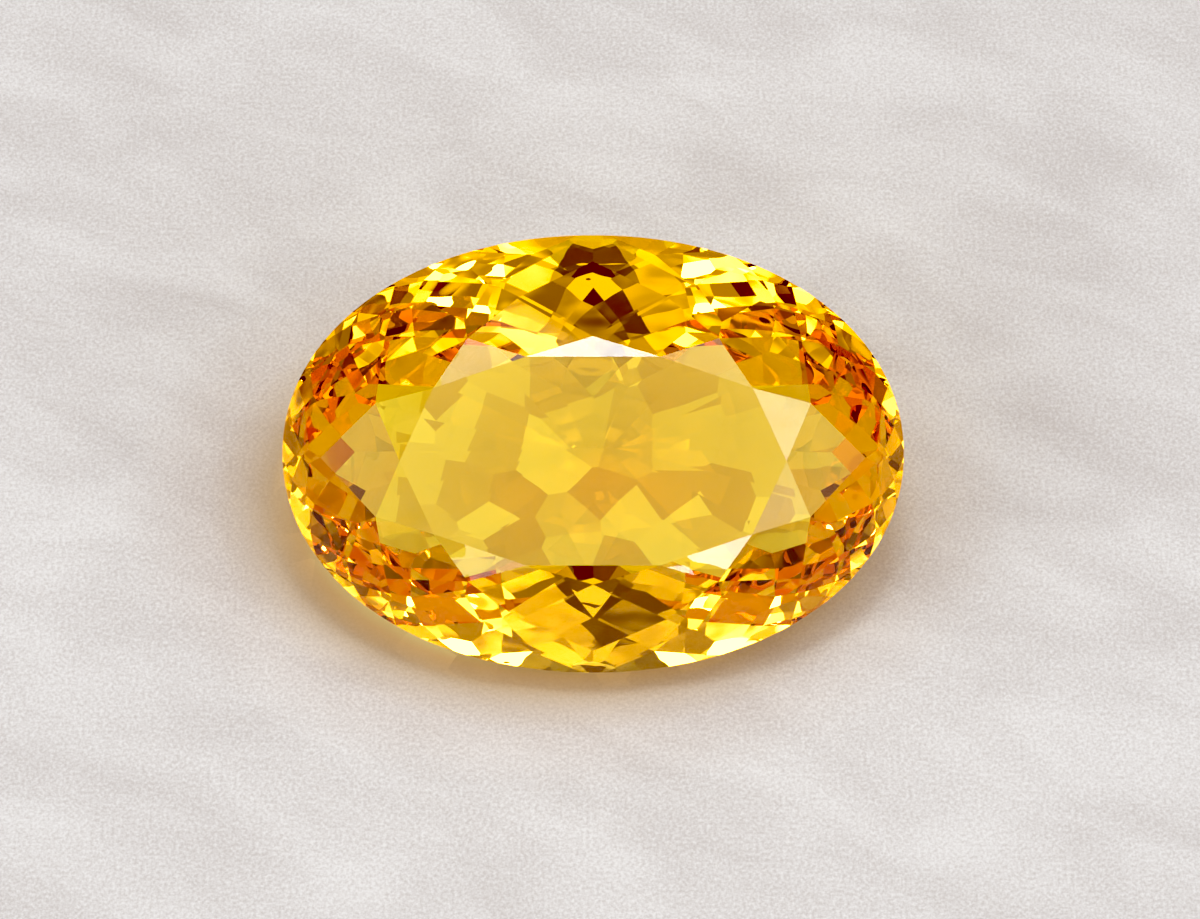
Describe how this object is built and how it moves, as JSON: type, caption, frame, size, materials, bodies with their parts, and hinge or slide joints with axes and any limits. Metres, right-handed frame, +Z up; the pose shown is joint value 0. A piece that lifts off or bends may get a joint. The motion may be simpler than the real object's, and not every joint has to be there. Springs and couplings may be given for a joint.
{
  "type": "oval cut citrine gemstone",
  "caption": "Loose oval brilliant-cut citrine with a broad table, lying on a pavilion facet with its table tipped forward.",
  "frame": {"origin": "centre of the stone's box at its lowest level, where the resting facet meets the surface", "axes": "+X along the oval's long axis, +Z up, -Y to the side the table faces"},
  "size_m": [0.02, 0.012, 0.0095],
  "materials": {
    "citrine": "polished"
  },
  "bodies": {
    "root": {"citrine": "citrine"}
  },
  "joints": []
}
